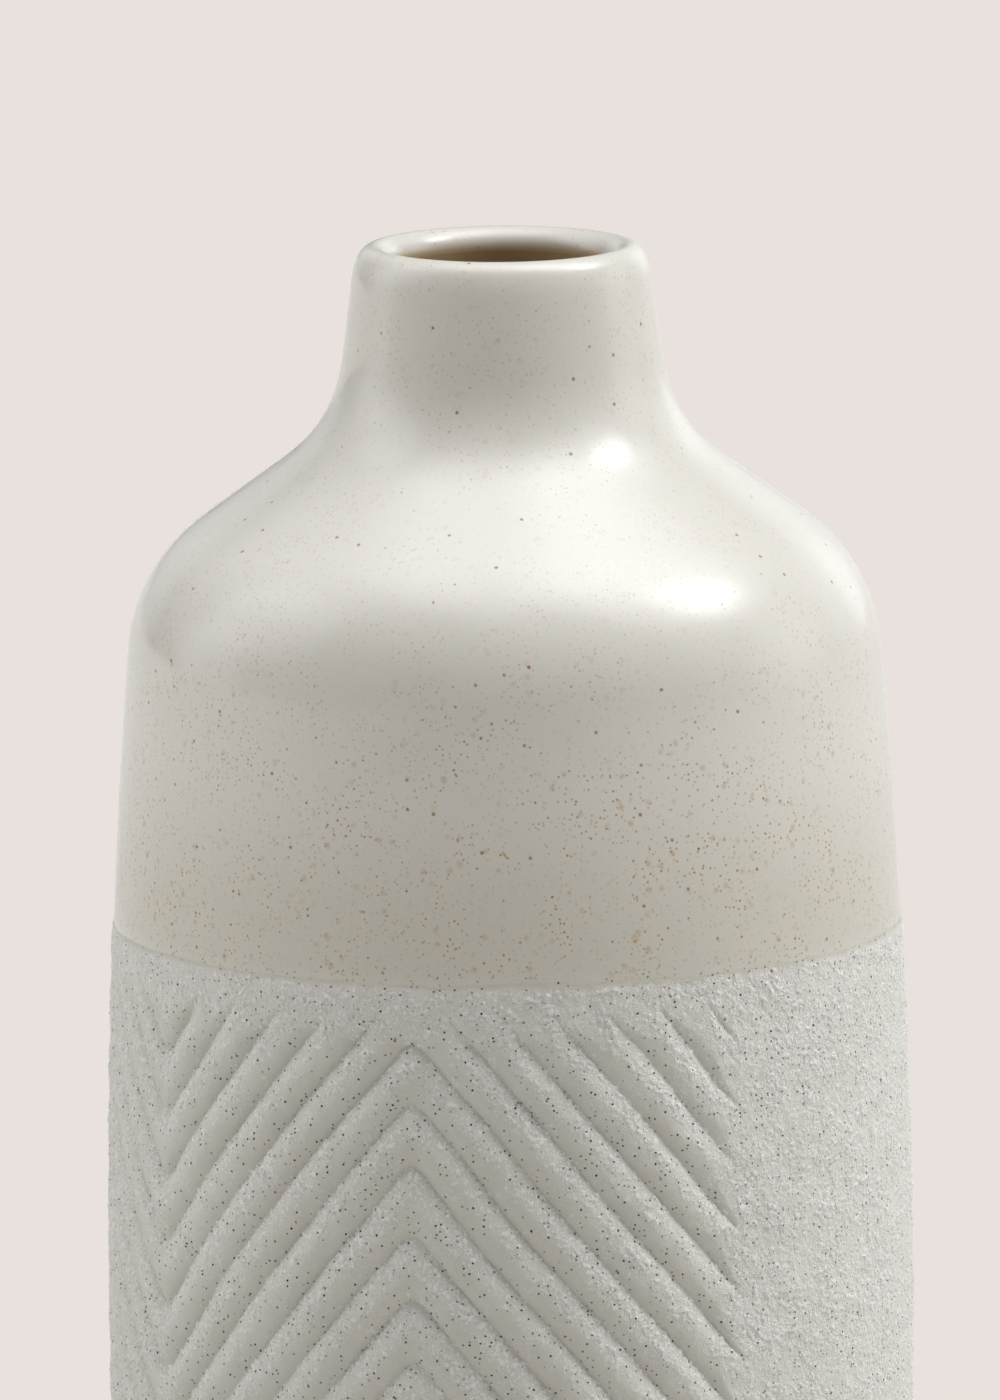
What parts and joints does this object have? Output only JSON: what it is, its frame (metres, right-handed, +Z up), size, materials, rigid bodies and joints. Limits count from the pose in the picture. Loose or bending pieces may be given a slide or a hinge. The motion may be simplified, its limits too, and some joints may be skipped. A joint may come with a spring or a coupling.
{
  "type": "vase",
  "caption": "Tall stoneware vase with rolled lip, short neck and sloping shoulder, glossy speckled cream glaze above and a matte gritty lower half carved with nested chevrons.",
  "frame": {"origin": "centre of the plane that the foot ring rests on", "axes": "+Z up along the vase's turning axis, -Y towards the front, where the peak line of the middle chevron panel is 14 degrees left of centre"},
  "size_m": [0.1606, 0.1606, 0.3],
  "materials": {
    "fired_clay": "bare fired clay, matte",
    "cream_glaze": "glossy, warm cream with fine ochre and brown speckles",
    "liner_glaze": "glossy, cream over brown",
    "sanded_slip": "matte, gritty, with white grains and fine dark specks"
  },
  "bodies": {
    "root": {"stoneware_body": "fired_clay", "outer_glaze": "cream_glaze", "liner_glaze": "liner_glaze", "sanded_slip": "sanded_slip"}
  },
  "joints": []
}
